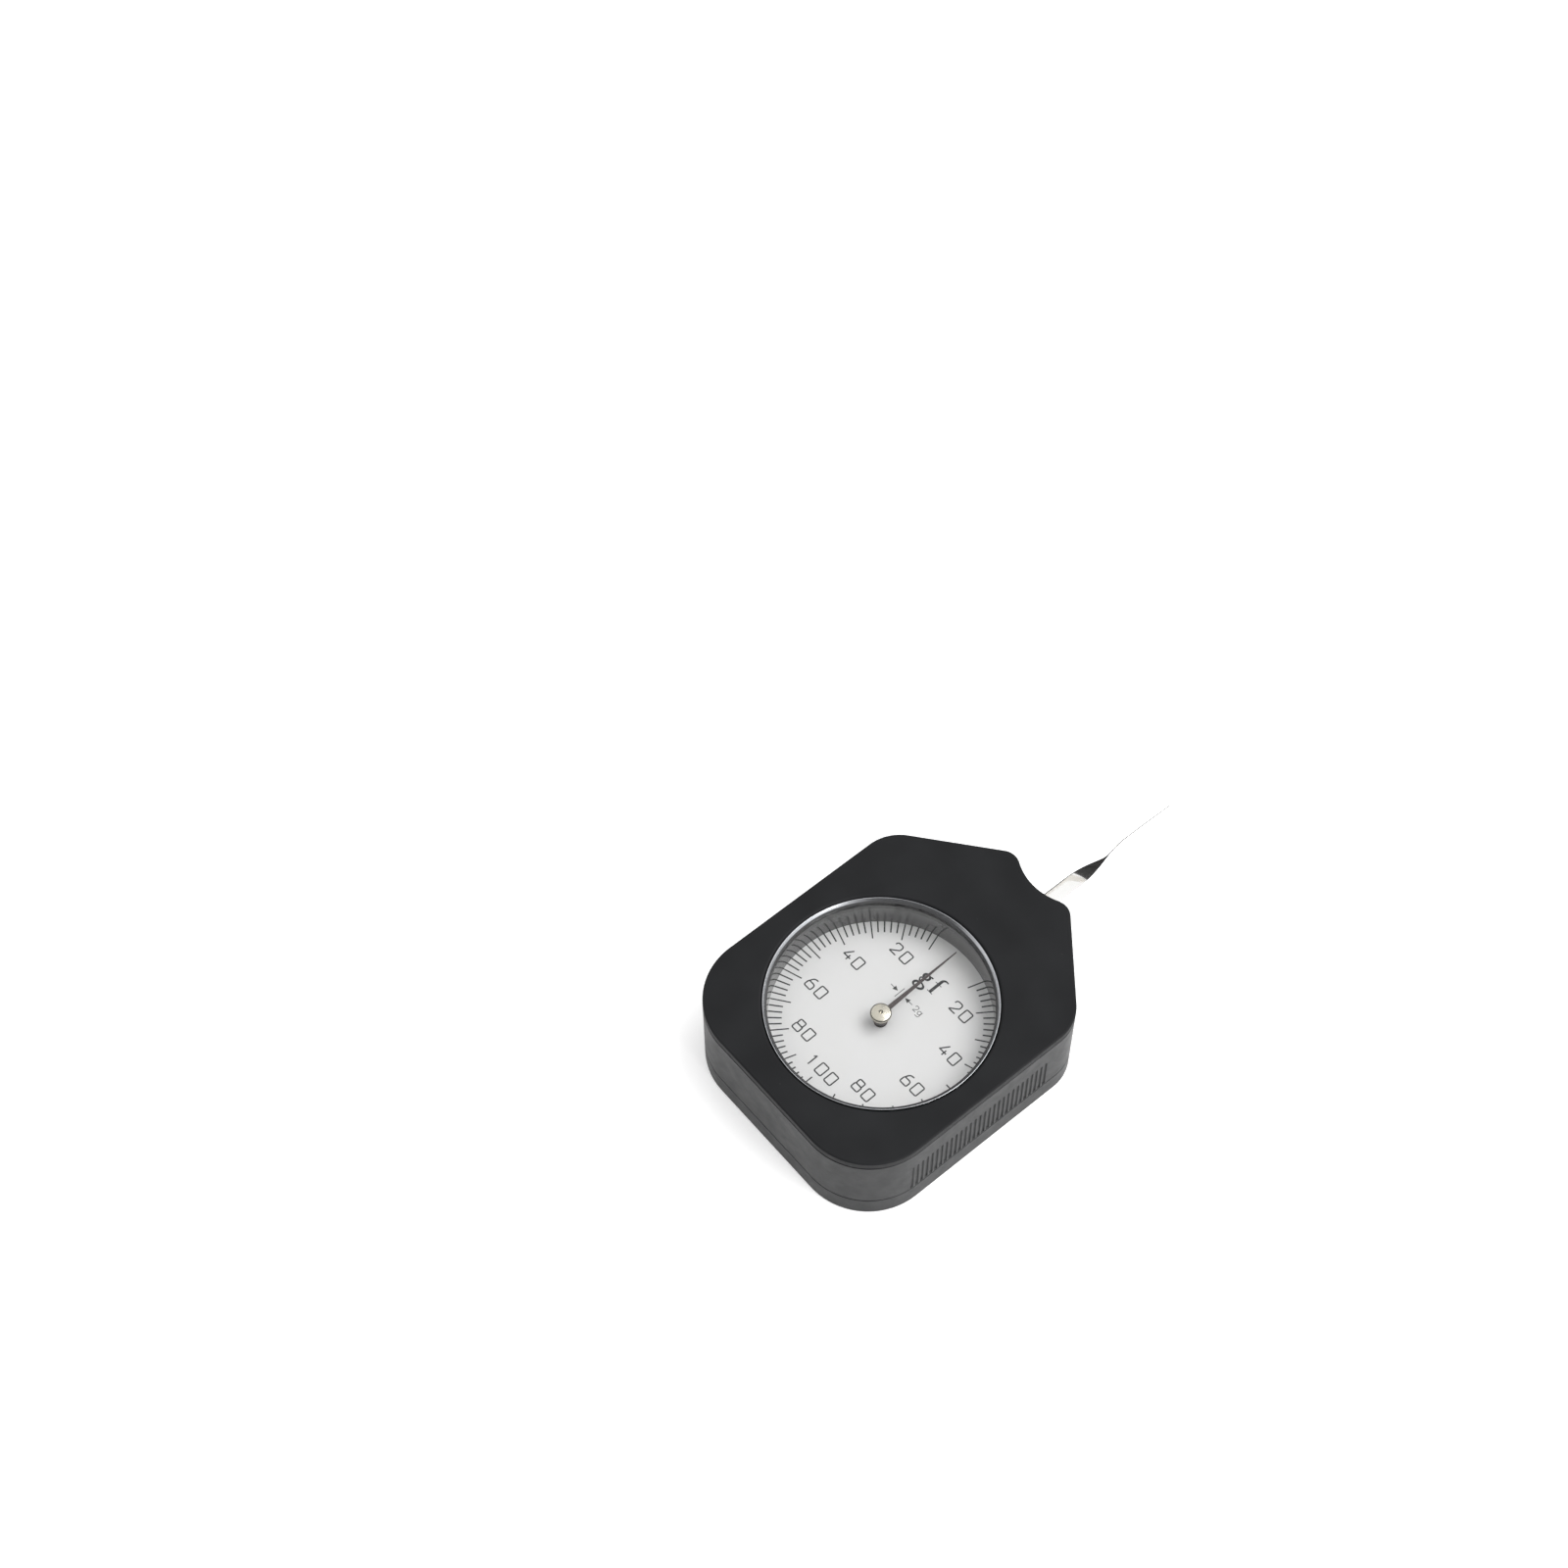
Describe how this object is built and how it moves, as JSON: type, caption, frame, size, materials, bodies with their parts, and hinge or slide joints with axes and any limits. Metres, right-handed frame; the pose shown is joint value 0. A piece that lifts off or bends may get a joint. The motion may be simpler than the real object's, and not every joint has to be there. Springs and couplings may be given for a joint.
{
  "type": "dial tension gauge",
  "caption": "Hand-held dial gauge that weighs a light pull or push: a twisted steel feeler turns a needle over a two-way round scale in a black plastic case.",
  "frame": {"origin": "where the pointer's axis meets the back face of the rear cover", "axes": "+Z out of the dial face, +Y along the feeler towards its tip, +X to the right as one reads the dial"},
  "size_m": [0.0498, 0.096, 0.0195],
  "materials": {
    "case_plastic": "black moulded plastic with a very fine satin texture",
    "bezel_metal": "turned and polished thin ring",
    "clear_crystal": "clear polished disc",
    "gasket_rubber": "black seal",
    "well_wall": "smooth grey wall that mirrors the scale faintly",
    "dial_paint": "fine matt white enamel with black printed scale",
    "pointer_dark": "dark brown-black lacquered needle",
    "hub_nickel": "polished warm nickel plate",
    "feeler_steel": "polished flat steel strip",
    "movement_steel": "turned steel",
    "movement_brass": "machined brass",
    "bush_nickel": "turned nickel silver",
    "spring_steel": "blued spring steel",
    "screw_steel": "zinc-plated screw"
  },
  "bodies": {
    "case": {"front_cover": "case_plastic", "mid_case": "case_plastic", "rear_cover": "case_plastic", "bezel_ring": "bezel_metal", "crystal": "clear_crystal", "crystal_gasket": "gasket_rubber", "dial_well_ring": "well_wall", "dial_plate": "dial_paint", "lower_plate": "movement_brass", "upper_plate": "movement_brass", "bush_pointer_lower": "bush_nickel", "bush_pointer_upper": "bush_nickel", "bush_feeler_lower": "bush_nickel", "bush_feeler_upper": "bush_nickel", "pillar_1": "movement_brass", "pillar_2": "movement_brass", "pillar_3": "movement_brass", "pillar_4": "movement_brass", "plate_screw_1": "screw_steel", "plate_screw_2": "screw_steel", "plate_screw_3": "screw_steel", "plate_screw_4": "screw_steel", "movement_screw_1": "screw_steel", "movement_screw_2": "screw_steel", "movement_screw_3": "screw_steel", "stop_pin_1": "movement_steel", "stop_pin_2": "movement_steel", "case_screw_1": "screw_steel", "case_screw_2": "screw_steel", "case_screw_3": "screw_steel", "case_screw_4": "screw_steel", "hairspring": "spring_steel", "hairspring_stud": "movement_brass", "measuring_spring": "spring_steel", "measuring_spring_stud": "movement_brass"},
    "feeler_group": {"feeler": "feeler_steel", "feeler_hub": "movement_brass", "feeler_nut": "movement_brass", "feeler_arbor": "movement_steel", "sector_gear": "movement_brass", "measuring_spring_collet": "movement_brass"},
    "pointer_group": {"pointer": "pointer_dark", "pointer_hub": "hub_nickel", "pointer_arbor": "movement_steel", "pinion": "movement_brass", "hairspring_collet": "movement_brass"}
  },
  "joints": [
    {"name": "feeler_swing", "type": "hinge", "parent": "case", "child": "feeler_group", "pos_m": [0, 0.0242, 0], "axis": [0, 0, 1], "range_deg": [-15, 15], "stiffness_Nm_per_rad": 0.17, "deforming": ["measuring_spring"]},
    {"name": "pointer_spin", "type": "hinge", "parent": "case", "child": "pointer_group", "pos_m": [0, 0, 0], "axis": [0, 0, 1], "range_deg": [-180, 180], "deforming": ["hairspring"]}
  ],
  "couplings": [
    {"joint": "pointer_spin", "follows": "feeler_swing", "ratio": -12}
  ]
}
